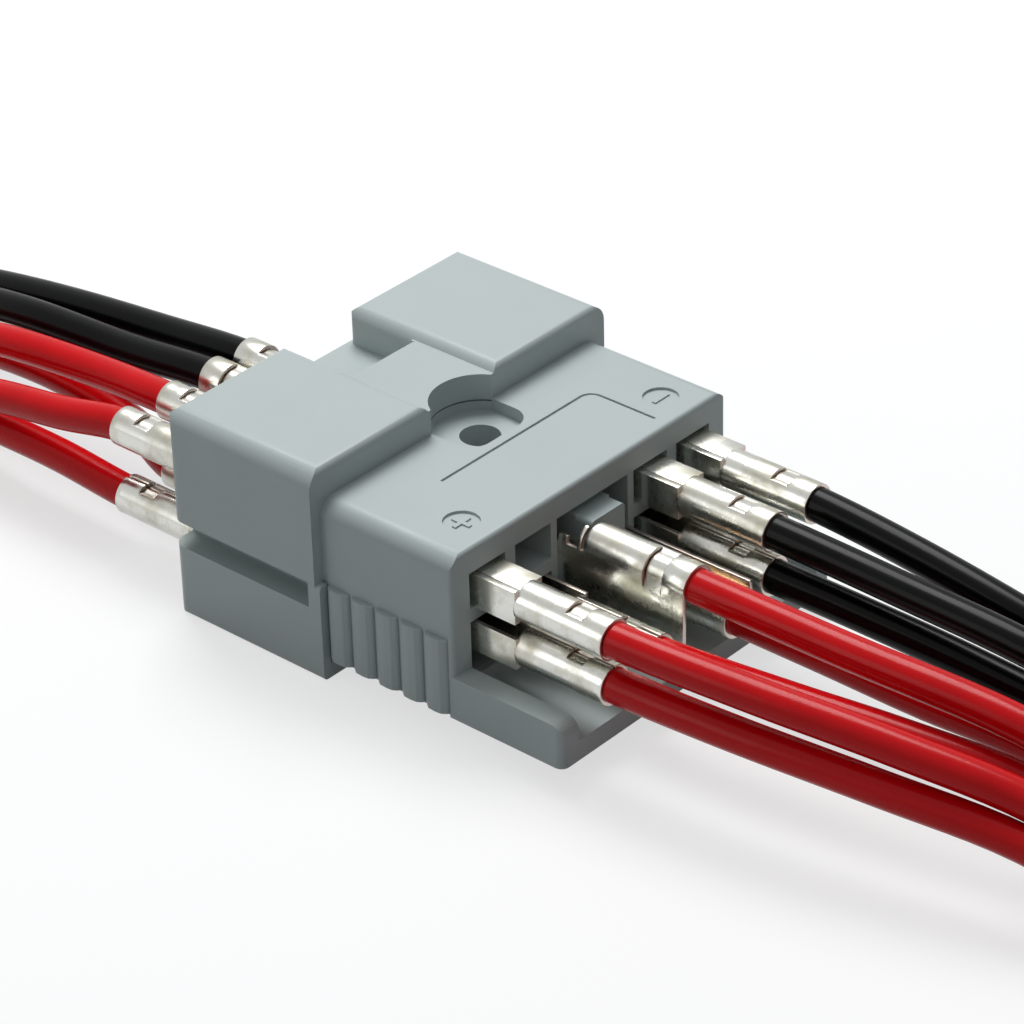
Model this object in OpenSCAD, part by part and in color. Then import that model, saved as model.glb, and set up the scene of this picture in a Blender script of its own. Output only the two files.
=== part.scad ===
// Genderless power connector: two plugged-together housings with crimped contacts and leads.
// X is the plugging axis, with the fixed half's wire side at +X. Y is the width, Z is up.
// The seam between the two housings is the plane X = 0. All sizes are in millimetres.

/* [Fixed housing] */
// Width of the fixed housing, side to side
fixed_w = 62; // [60:0.5:64]
// Length from the seam to the wire face
fixed_len = 25.4; // [24:0.2:30]
// Length of the tray beyond the wire face
tray_len = 20.4; // [16:0.2:21]
// Height of the fixed housing's underside above the moving one's
fixed_base = 2.8; // [2.6:0.1:3.4]
// Height of the fixed housing's top
fixed_top = 30; // [29:0.2:31]
// Thickness of the tray's floor
tray_floor = 3.4; // [2.5:0.1:4]
// Height of the tray's side walls, from the underside
tray_wall_h = 7.2; // [6:0.2:9]
// Radius of the two long top edges
fixed_round = 2.8; // [1.5:0.1:3.5]

/* [Moving housing] */
// How far the hood stands proud of the fixed housing at each side
hood_side = 1.85; // [1.6:0.05:2.4]
// How far the raised blocks stand above the fixed housing's top
hood_step = 5.3; // [5:0.1:6]
// Length from the seam to the wire end
hood_len = 29.7; // [28:0.1:31]
// Depth of the mouth that takes the fixed housing's nose
mouth_depth = 14; // [12:0.5:15]
// Half width of the lower bridge between the raised blocks
bridge_half_w = 6.9; // [6:0.1:8]
// How far the bridge lies below the raised blocks
bridge_drop = 1.2; // [0.8:0.1:1.6]
// Length of the notch at the wire end of the bridge
notch_len = 13.4; // [11:0.2:14]
// Height of the notch's floor
notch_floor = 29; // [28:0.1:30]
// Height of the side slot's lower edge
slot_low = 12.1; // [12:0.1:13]
// Height of the side slot
slot_h = 4.3; // [3.5:0.1:4.4]
// Depth of the side slot
slot_depth = 6.5; // [3:0.1:6.5]
// Length of the lip that the lower slab carries past the seam
lip_len = 1; // [0.5:0.1:1.4]
// Radius of the hood's long top edges
hood_round = 3.2; // [2:0.1:4]
// Radius of the hood's edges at the wire end
end_round = 2.4; // [1.5:0.1:2.8]

/* [Mounting hole] */
// Distance of the hole's axis from the seam
hole_x = 3.6; // [3.4:0.1:4]
// Diameter of the hole
hole_d = 6.3; // [5:0.1:6.5]
// Width of the pocket for the screw head
pocket_w = 13.4; // [12:0.2:14.4]
// Distance of the pocket's front edge from the seam
pocket_len = 8.3; // [8:0.1:9.2]
// Depth of the pocket
pocket_depth = 2; // [1.5:0.1:2.2]

/* [Contacts] */
// Distance of the outer column from the middle
outer_col = 23.2; // [23:0.1:23.4]
// Distance of the inner column from the middle
inner_col = 13.25; // [13:0.05:13.4]
// Width of a contact's folded box
box_w = 6; // [5:0.1:6.4]
// Height of a contact's folded box
box_h = 5.4; // [5:0.1:5.4]
// Sheet thickness of the contacts
sheet = 0.8; // [0.6:0.05:0.8]
// Outer diameter of a crimp barrel
barrel_d = 6.4; // [6:0.1:6.6]
// How far the crimps reach out of the moving housing's wire face
crimp_out = 19.3; // [18.3:0.1:20.3]
// Length of a crimp barrel
barrel_len = 16; // [14:0.5:17]
// Gap between the two halves' blades when plugged
blade_gap = 0.1; // [0.05:0.01:0.2]

/* [Leads] */
// Outer diameter of a lead's insulation
lead_d = 5.4; // [4.8:0.1:5.6]

/* [Grip ribs] */
// Number of ribs on each side
rib_count = 5; // [3:1:6]
// How far a rib stands out
rib_out = 1; // [0.5:0.1:1.2]
// Height of the ribs' top above the underside
rib_top = 13.2; // [10:0.2:15]

/* [Polarity marks] */
// Diameter of the round field of a polarity mark
mark_d = 5.6; // [4:0.2:7]
// Depth of the field
mark_depth = 0.4; // [0.2:0.1:0.6]

/* [Hidden] */
$fn = 48;
eps = 0.01;

play = 0.3;                             // clearance of the nose all round in the mouth
hood_w = fixed_w + 2 * hood_side;
hood_top = fixed_top + hood_step;
hood_wall = 2.65;                       // side wall of the mouth
mouth_w = hood_w - 2 * hood_wall;
mouth_low = fixed_base + 0.3;
mouth_top = fixed_top - 0.25;
nose_w = mouth_w - 2 * play;
nose_low = mouth_low + play;
nose_top = mouth_top - play;
nose_len = mouth_depth - play;
core_back = hood_len;                   // wire face of the moving half
edge_round = 0.8;                       // radius of the small outer edges
pocket_round = 3.5;                     // corners of the screw head's pocket
scallop_d = pocket_w + 1.8;             // round relief in the hood over the pocket
mark_line = 0.7;                        // stroke width of the plus and the minus

// Cavities: width, web and heights of the two rows in each half
cavity_w = box_w + 1.8;
cavity_clear = 0.6;                     // room on the open side of a box
fixed_web_low = 17.6;
fixed_web_top = 19.8;
fixed_row = [fixed_web_top + box_h / 2, fixed_web_low - box_h / 2];
fixed_cavity = [[fixed_web_top, fixed_web_top + box_h + cavity_clear],
                [fixed_base + 5.2, fixed_web_low]];
moving_low_top = slot_low - 0.8;        // ceiling of the lower row
moving_up_floor = slot_low + slot_h + 1.7;
moving_row = [moving_up_floor + box_h / 2, moving_low_top - box_h / 2];
moving_cavity = [[moving_up_floor, moving_up_floor + box_h + cavity_clear],
                 [moving_low_top - box_h - cavity_clear, moving_low_top]];

// Heights at which the blades of the two halves pass each other, upper and lower row
meet = [(fixed_row[0] + moving_row[0]) / 2, moving_low_top - 0.1];
blade_w = box_w - 1;
blade_tip_fixed = nose_len - 2.2;       // how far the fixed blades reach past the seam
blade_tip_moving = 6;
box_front_fixed = 8;
box_front_moving = mouth_depth + 4;
crimp_end = hood_len + crimp_out;       // distance of the crimp ends from the seam
step_x = crimp_end - barrel_len;        // where box turns into barrel
window_end = crimp_end - 4.5;           // witness window in the barrel
window_len = 3;

// Power contacts: a standing blade close to the side of the middle recess
recess_half_w = 8;
recess_front = 12;
recess_low = fixed_base + 5.2;
post_half_w = 3.75;
post_out = 3;                           // how far the key post stands out of the wire face
post_top = 24.3;
power_slot_in = 6.2;
power_low = fixed_cavity[1][0] + 2;     // lower and upper edge of the standing plates
power_high = fixed_cavity[0][1] - 1.8;
power_slot = [power_low - 0.4, power_high + 0.6];
power_barrel_d = 6.6;
power_seat = recess_half_w;
power_start = hood_len + 1.3;           // where the power contacts' barrels begin
fixed_power_z = [power_high - 1.8, power_low + 2];
moving_power_z = moving_row[0];

// Contacts: name, side (1 fixed, -1 moving), column, row (0 upper, 1 lower)
small_contacts = [
  ["contact_a_outer_upper", 1, -outer_col, 0], ["contact_a_outer_lower", 1, -outer_col, 1],
  ["contact_a_inner_lower", 1, -inner_col, 1], ["contact_b_inner_upper", 1, inner_col, 0],
  ["contact_b_inner_lower", 1, inner_col, 1], ["contact_b_outer_upper", 1, outer_col, 0],
  ["contact_c_outer_upper", -1, -outer_col, 0], ["contact_c_outer_lower", -1, -outer_col, 1],
  ["contact_c_inner_upper", -1, -inner_col, 0], ["contact_c_inner_lower", -1, -inner_col, 1]];

// Power contacts: name, side, near (-1) or far (1) of the middle
power_contacts = [["power_contact_fixed_near", 1, -1], ["power_contact_fixed_far", 1, 1],
                  ["power_contact_moving_near", -1, -1], ["power_contact_moving_far", -1, 1]];

function power_seat_y(side) = side > 0 ? power_seat : power_slot_in + blade_gap + sheet;
function power_axis_y(side) = power_seat_y(side) - power_barrel_d / 2;
function power_axis_z(side, near) = side < 0 ? moving_power_z : fixed_power_z[near < 0 ? 0 : 1];
function small_axis_z(side, row) = side > 0 ? fixed_row[row] : moving_row[row];

// Leads: name, colour, start, then the route's further points as chosen by hand
leads = [
  ["lead_red_a_outer_upper", "red", [crimp_end, -outer_col, fixed_row[0]],
   [[72, -21, 22], [94, -17, 20.5], [114, -12.5, 17.5], [138, -8.5, 10.5], [162, -5, 2.8]]],
  ["lead_red_a_outer_lower", "red", [crimp_end, -outer_col, fixed_row[1]],
   [[70, -22, 15], [92, -18.8, 14.2], [114, -15.3, 12.8], [136, -13.5, 8], [158, -13, 2.8]]],
  ["lead_red_a_inner_lower", "red", [crimp_end, -inner_col, fixed_row[1]],
   [[70, -11, 15.2], [88, -8, 15], [106, -4.2, 13.4], [130, 1, 8], [154, 6, 2.8]]],
  ["lead_red_power_near", "red", [crimp_end, -power_axis_y(1), power_axis_z(1, -1)],
   [[75, -4.3, 22], [104, -2.3, 20.8], [128, -1, 16], [150, 0.5, 9.5], [172, 2, 2.8]]],
  ["lead_red_power_far", "red", [crimp_end, power_axis_y(1), power_axis_z(1, 1)],
   [[66, 4, 12.6], [84, 3.6, 12.8], [100, 4.6, 12.6], [124, 8, 8], [148, 12, 2.8]]],
  ["lead_black_b_inner_upper", "black", [crimp_end, inner_col, fixed_row[0]],
   [[72, 13, 22.1], [94, 12.5, 21.6], [116, 13.5, 18], [140, 15.5, 10.5], [162, 17.5, 2.8]]],
  ["lead_black_b_inner_lower", "black", [crimp_end, inner_col, fixed_row[1]],
   [[66, 13.3, 14.8], [84, 14, 13.8], [104, 15, 11.5], [126, 17, 6.5], [146, 19, 2.8]]],
  ["lead_black_b_outer_upper", "black", [crimp_end, outer_col, fixed_row[0]],
   [[68, 22.8, 21.2], [87, 22.2, 19], [108, 22.5, 15], [130, 23.5, 9], [152, 25, 2.8]]],
  ["lead_red_c_outer_upper", "red", [-crimp_end, -outer_col, moving_row[0]],
   [[-62, -24, 18.6], [-77, -23.8, 16], [-96, -23.5, 11.5], [-116, -23, 6], [-134, -22.5, 2.8]]],
  ["lead_red_c_outer_lower", "red", [-crimp_end, -outer_col, moving_row[1]],
   [[-65, -22.5, 9], [-80, -22, 8.5], [-98, -20, 6], [-116, -16.5, 3.5], [-132, -14, 2.8]]],
  ["lead_red_c_inner_upper", "red", [-crimp_end, -inner_col, moving_row[0]],
   [[-67, -11.6, 18.7], [-87, -12, 17], [-108, -10.5, 12], [-128, -9, 6], [-144, -8, 2.8]]],
  ["lead_red_c_inner_lower", "red", [-crimp_end, -inner_col, moving_row[1]],
   [[-62, -9.5, 10], [-78, -7, 10.2], [-94, -5.5, 8.8], [-110, -4, 5.6], [-126, -3, 2.8]]],
  ["lead_black_d_near", "black", [-crimp_end, -power_axis_y(-1), moving_power_z],
   [[-68, -3.6, 18.6], [-92, -3, 16.6], [-112, -1.5, 12.5], [-132, 0, 7], [-150, 1.5, 2.8]]],
  ["lead_black_d_far", "black", [-crimp_end, power_axis_y(-1), moving_power_z],
   [[-68, 4.6, 18.3], [-90, 5, 15.5], [-110, 5.5, 12], [-130, 6.5, 7], [-148, 8, 2.8]]]];

// --- Shapes used more than once -------------------------------------------------------------

// Block along X between two cuts, its long top edges rounded by r_top and lower ones by r_low
module long_block(x0, x1, w, z0, z1, r_top, r_low) {
  translate([x0, 0, 0]) rotate([90, 0, 90]) linear_extrude(x1 - x0) {
    translate([-w / 2 + r_top, z0 + r_low]) square([w - 2 * r_top, z1 - z0 - r_low]);
    translate([-w / 2, z0 + r_low]) square([w, z1 - z0 - r_low - r_top]);
    translate([-w / 2 + r_low, z0]) square([w - 2 * r_low, r_low + eps]);
    for (s = [-1, 1]) {
      translate([s * (w / 2 - r_top), z1 - r_top]) circle(r_top);
      translate([s * (w / 2 - r_low), z0 + r_low]) circle(r_low);
    }
  }
}

// Box given by its two opposite corners
module span(a, b) {
  translate([min(a.x, b.x), min(a.y, b.y), min(a.z, b.z)])
    cube([abs(b.x - a.x), abs(b.y - a.y), abs(b.z - a.z)]);
}

// Waste outside a round corner: its faces meet at the origin, the solid lies towards +X +Y
module corner_waste(r) {
  difference() {
    translate([-1, -1]) square([r + 1, r + 1]);
    translate([r, r]) circle(r);
  }
}

// The same along Y, below an edge or (up = -1) above it, with the solid towards +X or -X (dir)
module cross_waste(r, dir, up, w) {
  rotate([90, 0, 0]) linear_extrude(w, center = true) scale([dir, up]) corner_waste(r);
}

// Both sides of the middle plane
module both_sides() {
  children();
  mirror([0, 1, 0]) children();
}

// --- Fixed housing --------------------------------------------------------------------------

module grip_ribs() {
  edge = 0.8;
  pitch = (fixed_len - 2 * edge) / rib_count;
  half = pitch / 2 - 0.65;
  low = fixed_base + 0.7;
  for (i = [0 : rib_count - 1])
    translate([edge + pitch * (i + 0.5), -fixed_w / 2, low]) linear_extrude(rib_top - 0.7) {
      translate([-half, edge - rib_out]) square([2 * half, 1]);
      translate([edge - half, -rib_out]) square([2 * (half - edge), 1]);
      for (s = [-1, 1]) translate([s * (half - edge), edge - rib_out]) circle(edge);
    }
}

// Round sunk field of a polarity mark, with a raised bar and, if crossed, a second one
module polarity_mark(crossed) {
  bar = 0.6 * mark_d;
  difference() {
    cylinder(d = mark_d, h = 1);
    span([-mark_line / 2, -bar / 2, -1], [mark_line / 2, bar / 2, 0.6 * mark_depth]);
    if (crossed) span([-bar / 2, -mark_line / 2, -1], [bar / 2, mark_line / 2, 0.6 * mark_depth]);
  }
}

// Pocket for the screw head: flat-sided in front of the seam, round under the hood
module screw_pocket() {
  half = pocket_w / 2;
  span([0, -half, 0], [pocket_len - pocket_round, half, 4]);
  span([0, pocket_round - half, 0], [pocket_len, half - pocket_round, 4]);
  for (s = [-1, 1])
    translate([pocket_len - pocket_round, s * (half - pocket_round), 0])
      cylinder(r = pocket_round, h = 4);
  intersection() {
    translate([hole_x, 0, 0]) cylinder(d = scallop_d, h = 4);
    span([-nose_len, -half, 0], [0.5, half, 4]);
  }
}

module label_groove() {
  // Engraved line round three sides of the bare label field
  depth = 0.35;
  line = 0.5;
  x0 = 9.8;
  x1 = 22.8;
  y0 = -15.7;
  y1 = 17.8;
  corner = 2.4;
  translate([0, 0, fixed_top - depth]) {
    span([x0, y0, 0], [x0 + line, y1 - corner, 1]);
    span([x0 + corner, y1 - line, 0], [x1, y1, 1]);
    translate([x0 + corner, y1 - corner, 0]) intersection() {
      difference() {
        cylinder(r = corner, h = 1);
        translate([0, 0, -1]) cylinder(r = corner - line, h = 3);
      }
      translate([-corner, 0, 0]) cube([corner, corner, 1]);
    }
  }
}

module tray() {
  x1 = fixed_len + tray_len;
  low = fixed_base;
  span([fixed_len - 1, -fixed_w / 2, low], [x1, fixed_w / 2, low + tray_floor]);
  both_sides() {
    span([fixed_len - 1, -fixed_w / 2, low], [x1 - 2.2, -fixed_w / 2 + 3.7, low + tray_wall_h]);
    span([fixed_len - 1, -fixed_w / 2, low], [x1, -fixed_w / 2 + 3.7, low + tray_wall_h - 2.2]);
    translate([x1 - 2.2, -fixed_w / 2 + 3.7, low + tray_wall_h - 2.2]) rotate([90, 0, 0])
      cylinder(r = 2.2, h = 3.7);
  }
}

module fixed_cavities() {
  x0 = -nose_len - 1;
  x1 = fixed_len + 1;
  both_sides() for (col = [outer_col, inner_col], z = fixed_cavity)
    span([x0, col - cavity_w / 2, z[0]], [x1, col + cavity_w / 2, z[1]]);
  // Slots for the power contacts' blades, then the recess round the key post
  both_sides() span([x0, power_slot_in, power_slot[0]], [x1, recess_half_w, power_slot[1]]);
  difference() {
    span([recess_front, -recess_half_w, recess_low], [x1, recess_half_w, fixed_cavity[0][1]]);
    span([0, -post_half_w, 0], [x1 + 1, post_half_w, post_top]);
  }
}

module housing_fixed() {
  color([0.60, 0.63, 0.64]) {
    difference() {
      union() {
        long_block(0, fixed_len, fixed_w, fixed_base, fixed_top, fixed_round, edge_round);
        long_block(-nose_len, 1, nose_w, nose_low, nose_top, fixed_round, edge_round);
        tray();
        both_sides() grip_ribs();
      }
      fixed_cavities();
      both_sides() span([-nose_len - 1, -nose_w, slot_low - 0.5],
                        [-play, -nose_w / 2 + 1.5, slot_low + slot_h + 0.5]);
      translate([hole_x, 0, 0]) cylinder(d = hole_d, h = fixed_top + 1);
      translate([0, 0, fixed_top - pocket_depth]) screw_pocket();
      label_groove();
      translate([19.6, -22, fixed_top - mark_depth]) polarity_mark(true);
      translate([19.4, 23, fixed_top - mark_depth]) polarity_mark(false);
      // Soft edges of the wire face
      translate([fixed_len, 0, fixed_top]) cross_waste(edge_round, -1, -1, fixed_w + 4);
      both_sides() translate([fixed_len, -fixed_w / 2, fixed_base + tray_wall_h])
        linear_extrude(fixed_top) mirror([1, 0]) corner_waste(edge_round);
    }
    // Key post between the two power contacts
    long_block(recess_front - 1, fixed_len + post_out, 2 * post_half_w, recess_low - 1, post_top,
               edge_round, edge_round / 2);
  }
}

// --- Moving housing -------------------------------------------------------------------------

// Lower bridge with soft shoulders, open notch, and round relief over the screw pocket
module hood_top_waste() {
  bridge_top = hood_top - bridge_drop;
  shoulder = 0.8 * bridge_drop;
  translate([-hood_len - 1, 0, 0]) rotate([90, 0, 90]) linear_extrude(hood_len + 2) {
    translate([-bridge_half_w, bridge_top]) square([2 * bridge_half_w, bridge_drop + 1]);
    for (s = [-1, 1]) scale([s, 1]) translate([bridge_half_w, hood_top]) scale([1, -1])
      corner_waste(shoulder);
  }
  translate([0, 0, notch_floor]) linear_extrude(hood_top) {
    translate([-hood_len - 1, -bridge_half_w]) square([notch_len + 1, 2 * bridge_half_w]);
    for (s = [-1, 1]) scale([1, s]) translate([-hood_len, bridge_half_w]) corner_waste(end_round - 0.6);
  }
  translate([notch_len - hood_len, 0, bridge_top]) cross_waste(edge_round, 1, -1, 2 * bridge_half_w);
  translate([hole_x, 0, mouth_top - 1]) cylinder(d = scallop_d, h = hood_top);
}

module housing_moving() {
  color([0.60, 0.63, 0.64]) difference() {
    union() {
      long_block(-hood_len, 0, hood_w, 0, hood_top, hood_round, edge_round);
      long_block(-1, lip_len, hood_w, 0, slot_low + slot_h, edge_round, edge_round);
    }
    // Mouth for the nose, and the rebate that lets the lip pass round the fixed housing
    long_block(-mouth_depth, 0.5 * lip_len, mouth_w, mouth_low, mouth_top, fixed_round, edge_round);
    span([0, -fixed_w / 2 - play, fixed_base - play], [lip_len + 1, fixed_w / 2 + play, hood_top]);
    hood_top_waste();
    // Rounded edges of the wire end and of the seam
    translate([-hood_len, 0, hood_top]) cross_waste(end_round, 1, -1, hood_w + 2);
    translate([-hood_len, 0, 0]) cross_waste(end_round, 1, 1, hood_w + 2);
    translate([0, 0, hood_top]) cross_waste(edge_round, -1, -1, hood_w + 2);
    both_sides() translate([-hood_len, -hood_w / 2, -1])
      linear_extrude(hood_top + 2) corner_waste(end_round);
    // Side slots, open at the wire end
    both_sides() span([-hood_len - 1, -hood_w, slot_low],
                      [-1.4, -hood_w / 2 + slot_depth, slot_low + slot_h]);
    // Contact cavities and the power contacts' slots
    both_sides() for (col = [outer_col, inner_col], z = moving_cavity)
      span([-hood_len - 1, col - cavity_w / 2, z[0]], [-1, col + cavity_w / 2, z[1]]);
    both_sides() span([-hood_len - 1, power_slot_in + blade_gap, power_slot[0]],
                      [-1, recess_half_w, moving_power_z + 0.6]);
  }
}

// --- Contacts -------------------------------------------------------------------------------

// Blade that passes its mate, joined to the box by a short ramp
module blade(tip, front, z_blade, z_axis) {
  ramp = 3;
  span([tip, -blade_w / 2, z_blade], [front - ramp, blade_w / 2, z_blade + sheet]);
  hull() {
    span([front - ramp - 0.1, -blade_w / 2, z_blade], [front - ramp, blade_w / 2, z_blade + sheet]);
    span([front, -blade_w / 2, max(z_blade, z_axis - box_h / 2)],
         [front + 0.1, blade_w / 2, max(z_blade, z_axis - box_h / 2) + sheet]);
  }
}

// Box folded from sheet, with an open seam on top
module folded_box(front, seam_y, seam_w) {
  difference() {
    span([front, -box_w / 2, -box_h / 2], [step_x + 1, box_w / 2, box_h / 2]);
    span([front + sheet, -box_w / 2 + sheet, -box_h / 2 + sheet],
         [step_x, box_w / 2 - sheet, box_h / 2 - sheet]);
    span([front - 1, seam_y, box_h / 2 - 2 * sheet], [step_x, seam_y + seam_w, box_h]);
  }
}

// Barrel pressed round the bare conductor, with a square witness window on top
module crimp_barrel(d, start) {
  difference() {
    translate([start, 0, 0]) rotate([0, 90, 0]) cylinder(d = d, h = crimp_end - start);
    span([window_end - window_len, -1.6, d / 2 - 0.6], [window_end, 1.6, d]);
  }
}

module small_contact(side, col, row) {
  z = small_axis_z(side, row);
  z_blade = meet[row] + (side > 0 ? blade_gap / 2 : -blade_gap / 2 - sheet);
  front = side > 0 ? box_front_fixed : box_front_moving;
  tip = side > 0 ? -blade_tip_fixed : -blade_tip_moving;
  seam = row == 0 ? [-box_w / 2 + 1, 0.4] : [-0.9, 1.8];
  color([0.80, 0.79, 0.76]) translate([0, col, 0]) mirror([side < 0 ? 1 : 0, 0, 0]) {
    blade(tip, front, z_blade, z);
    translate([0, 0, z]) {
      folded_box(front, seam[0], seam[1]);
      crimp_barrel(barrel_d, step_x);
    }
  }
}

module power_contact(side, near) {
  seat = power_seat_y(side);
  z = power_axis_z(side, near);
  up = z > (power_low + power_high) / 2;
  low = up ? power_low : z;
  high = up ? z : z + 5;
  tip = side > 0 ? -blade_tip_fixed : -10;
  color([0.80, 0.79, 0.76]) mirror([0, near < 0 ? 1 : 0, 0]) mirror([side < 0 ? 1 : 0, 0, 0]) {
    span([tip, seat - sheet, low], [crimp_end, seat, high]);
    translate([0, power_axis_y(side), z]) mirror([0, 0, up ? 0 : 1])
      crimp_barrel(power_barrel_d, power_start);
  }
}

// --- Leads ----------------------------------------------------------------------------------

function unit(v) = v / norm(v);

// Direction of the route at point i: along X at the crimp, then the mean of its two stretches
function heading(p, i) =
  i == 0 ? [sign(p[0].x), 0, 0]
  : i == len(p) - 1 ? unit(p[i] - p[i - 1])
  : unit(unit(p[i] - p[i - 1]) + unit(p[i + 1] - p[i]));

// Ring of points round the route at point i
function ring(p, i, r, sides) =
  let (t = heading(p, i), u = unit(cross([0, 0, 1], t)), v = cross(t, u))
  [for (k = [0 : sides - 1]) p[i] + r * (cos(360 * k / sides) * u + sin(360 * k / sides) * v)];

// Point a share t of the way from point i to the next, on a smooth curve through all of them
function between(p, i, t) =
  let (a = p[max(i - 1, 0)], b = p[i], c = p[i + 1], d = p[min(i + 2, len(p) - 1)])
  b + 0.5 * t * (c - a + t * (2 * a - 5 * b + 4 * c - d + t * (3 * b - a - 3 * c + d)));

module lead(start, route) {
  sides = 10;
  steps = 2;
  way = concat([start], route);
  p = concat([for (i = [0 : len(way) - 2], k = [0 : steps - 1]) between(way, i, k / steps)],
             [way[len(way) - 1]]);
  last = (len(p) - 1) * sides;
  points = [for (i = [0 : len(p) - 1]) each ring(p, i, lead_d / 2, sides)];
  walls = [for (i = [0 : len(p) - 2], k = [0 : sides - 1])
    let (a = i * sides, b = a + sides, n = (k + 1) % sides) [a + k, b + k, b + n, a + n]];
  ends = [[for (k = [0 : sides - 1]) k], [for (k = [sides - 1 : -1 : 0]) last + k]];
  polyhedron(points, concat(walls, ends));
}

// --- What is drawn --------------------------------------------------------------------------

housing_fixed();
housing_moving();
for (c = small_contacts) small_contact(c[1], c[2], c[3]);
for (p = power_contacts) power_contact(p[1], p[2]);
for (l = leads) color(l[1]) lead(l[2], l[3]);
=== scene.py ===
"""Dresses a plugged pair of genderless power connectors: housings, crimped contacts and leads."""

import logging
import math
from dataclasses import dataclass, field
from enum import Enum

import bmesh
import bpy
from mathutils import Matrix, Vector

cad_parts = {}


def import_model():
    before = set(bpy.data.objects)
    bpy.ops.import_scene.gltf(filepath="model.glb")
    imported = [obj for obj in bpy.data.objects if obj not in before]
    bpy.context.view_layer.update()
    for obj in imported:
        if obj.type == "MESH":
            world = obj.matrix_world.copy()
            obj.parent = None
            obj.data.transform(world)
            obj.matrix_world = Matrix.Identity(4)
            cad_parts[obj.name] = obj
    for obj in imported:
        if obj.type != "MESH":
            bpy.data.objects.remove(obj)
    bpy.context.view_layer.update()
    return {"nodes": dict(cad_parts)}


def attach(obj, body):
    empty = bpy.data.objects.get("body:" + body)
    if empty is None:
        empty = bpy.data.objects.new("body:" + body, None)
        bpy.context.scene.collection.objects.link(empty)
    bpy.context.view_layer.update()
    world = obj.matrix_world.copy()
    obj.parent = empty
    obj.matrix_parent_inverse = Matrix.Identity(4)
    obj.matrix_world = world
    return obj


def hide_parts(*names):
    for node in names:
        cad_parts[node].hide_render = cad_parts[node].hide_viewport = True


LOG = logging.getLogger("connector")
MM = 0.001
X_AXIS = Vector((1.0, 0.0, 0.0))
# Slack, in millimetres, for telling whether a point lies on a ring
TOUCH = 1e-4
# Colour sockets of a Mix node, whose names its other sockets share
MIX_A, MIX_B, MIX_OUT = 6, 7, 2
Point = tuple[float, float, float]
Colour = tuple[float, float, float]
Span = tuple[float, float]


class Half(Enum):
    """The two housings, by the sign of the side that their wires leave from."""

    FIXED = 1
    MOVING = -1

    @property
    def body(self) -> str:
        """Name of the CAD body that this half's pieces ride on."""
        return "fixed_half" if self is Half.FIXED else "moving_half"


class Turn(Enum):
    """How a crimp contact lies: the angle and width of its barrel's seam, in degrees."""

    WINDOW_UP = (270.0, 6.0)
    SEAM_UP = (90.0, 9.0)


class Jacket(Enum):
    """Colours of the leads' insulation, by the record's material slot."""

    RED = "lead_red"
    BLACK = "lead_black"


class Relief(Enum):
    """The fine reliefs that a finish can have, by their node group."""

    GRAIN = "moulded_grain"
    STREAKS = "drawn_streaks"


# --- Shader nodes --------------------------------------------------------------------------


class NodeKit:
    """Places and joins nodes in one node tree."""

    def __init__(self, tree: bpy.types.NodeTree) -> None:
        """Takes the tree to work in.

        Args:
            tree: Node tree of a material, a world or a group.
        """
        self.tree = tree

    def add(self, kind: str, values: dict[str | int, object] | None = None,
            **settings: object) -> bpy.types.Node:
        """Adds a node, and sets its properties and its inputs.

        Args:
            kind: Blender's name of the node type.
            values: Default values, by the input's name or number.
            settings: Properties to set on the node.

        Returns:
            The new node.
        """
        node = self.tree.nodes.new(kind)
        for key, value in settings.items():
            setattr(node, key, value)
        for socket, value in (values or {}).items():
            node.inputs[socket].default_value = value
        return node

    def join(self, source: bpy.types.Node, given: str | int, target: bpy.types.Node,
             taken: str | int) -> None:
        """Links an output of one node to an input of another.

        Args:
            source: The node that gives the value.
            given: Name or number of its output.
            target: The node that takes the value.
            taken: Name or number of its input.
        """
        self.tree.links.new(source.outputs[given], target.inputs[taken])

    def seen_rays(self, share: float) -> bpy.types.Node:
        """Picks out the rays that show a surface: the camera's, and those off metal or glass.

        Args:
            share: Value for those rays; every other ray gets 0.

        Returns:
            The node whose first output is the value.
        """
        rays = self.add("ShaderNodeLightPath")
        source, given = rays, "Is Camera Ray"
        for label in ("Is Glossy Ray", "Is Transmission Ray"):
            either = self.add("ShaderNodeMath", operation="MAXIMUM")
            self.join(source, given, either, 0)
            self.join(rays, label, either, 1)
            source, given = either, 0
        scale = self.add("ShaderNodeMath", {1: share}, operation="MULTIPLY")
        self.join(source, given, scale, 0)
        return scale


class GroupMaker(NodeKit):
    """Opens a shader node group, to place nodes between its inputs and its outputs."""

    def __init__(self, name: str, inputs: dict[str, object], outputs: dict[str, str]) -> None:
        """Makes the group and its sockets.

        Args:
            name: Name of the group.
            inputs: Socket names with their default values, a float or a colour.
            outputs: Socket names with their socket types.
        """
        super().__init__(bpy.data.node_groups.new(name, "ShaderNodeTree"))
        for label, value in inputs.items():
            kind = "NodeSocketFloat" if isinstance(value, float) else "NodeSocketColor"
            socket = self.tree.interface.new_socket(label, in_out="INPUT", socket_type=kind)
            socket.default_value = value
        for label, kind in outputs.items():
            self.tree.interface.new_socket(label, in_out="OUTPUT", socket_type=kind)
        self.given = self.add("NodeGroupInput")
        self.result = self.add("NodeGroupOutput")


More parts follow.
